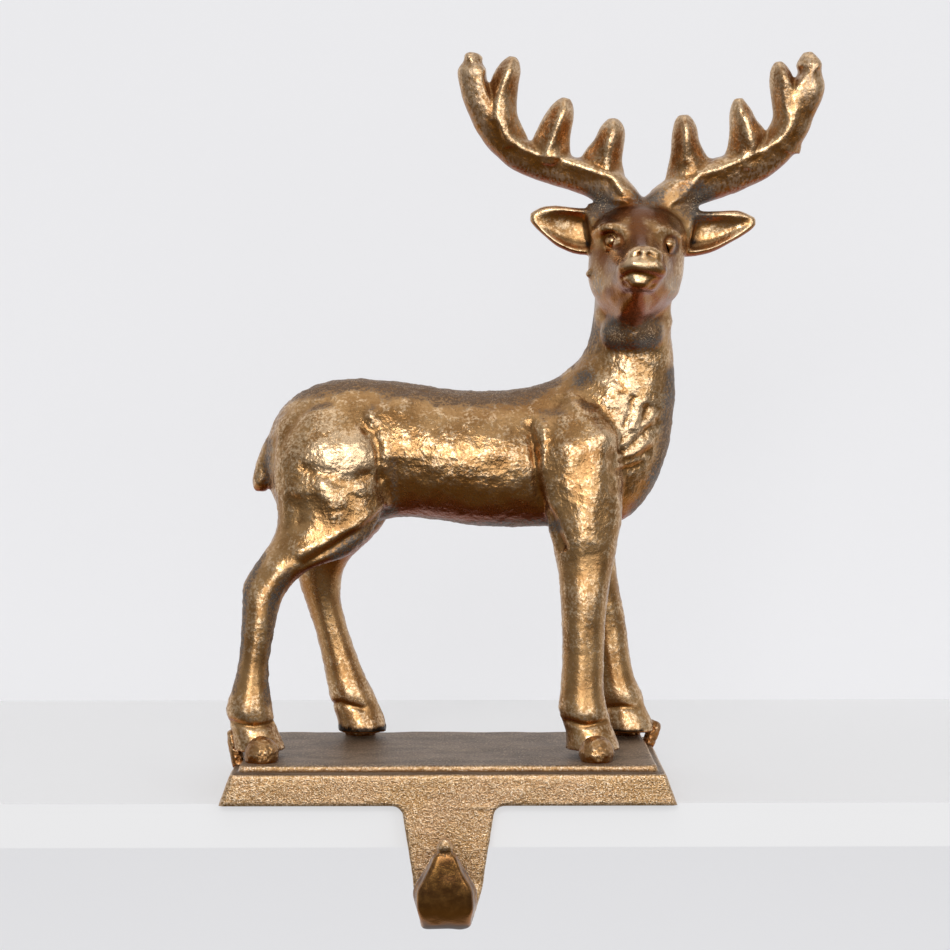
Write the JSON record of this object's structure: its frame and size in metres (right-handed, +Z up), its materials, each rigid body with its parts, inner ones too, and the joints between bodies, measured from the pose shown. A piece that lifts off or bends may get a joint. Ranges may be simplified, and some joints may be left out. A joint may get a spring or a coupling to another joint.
{
  "type": "mantel stocking holder",
  "caption": "Cast holder that rests on a mantel: a standing stag welded to a stepped plinth whose front tongue bends forward into a hook.",
  "frame": {"origin": "on the plinth's underside at the middle of its length, where the tongue's back face meets it: the front top edge of the mantel", "axes": "+Z up, +X the way the stag walks, +Y from the viewer towards the wall behind the mantel"},
  "size_m": [0.222, 0.1176, 0.3153],
  "materials": {
    "figure_gilt": "worn antique gold paint over a smooth hammered casting",
    "base_gilt": "worn antique gold paint over a coarse sand casting"
  },
  "bodies": {
    "root": {"stag_figure": "figure_gilt", "hook_base": "base_gilt", "hoof_welds": "figure_gilt"}
  },
  "joints": []
}
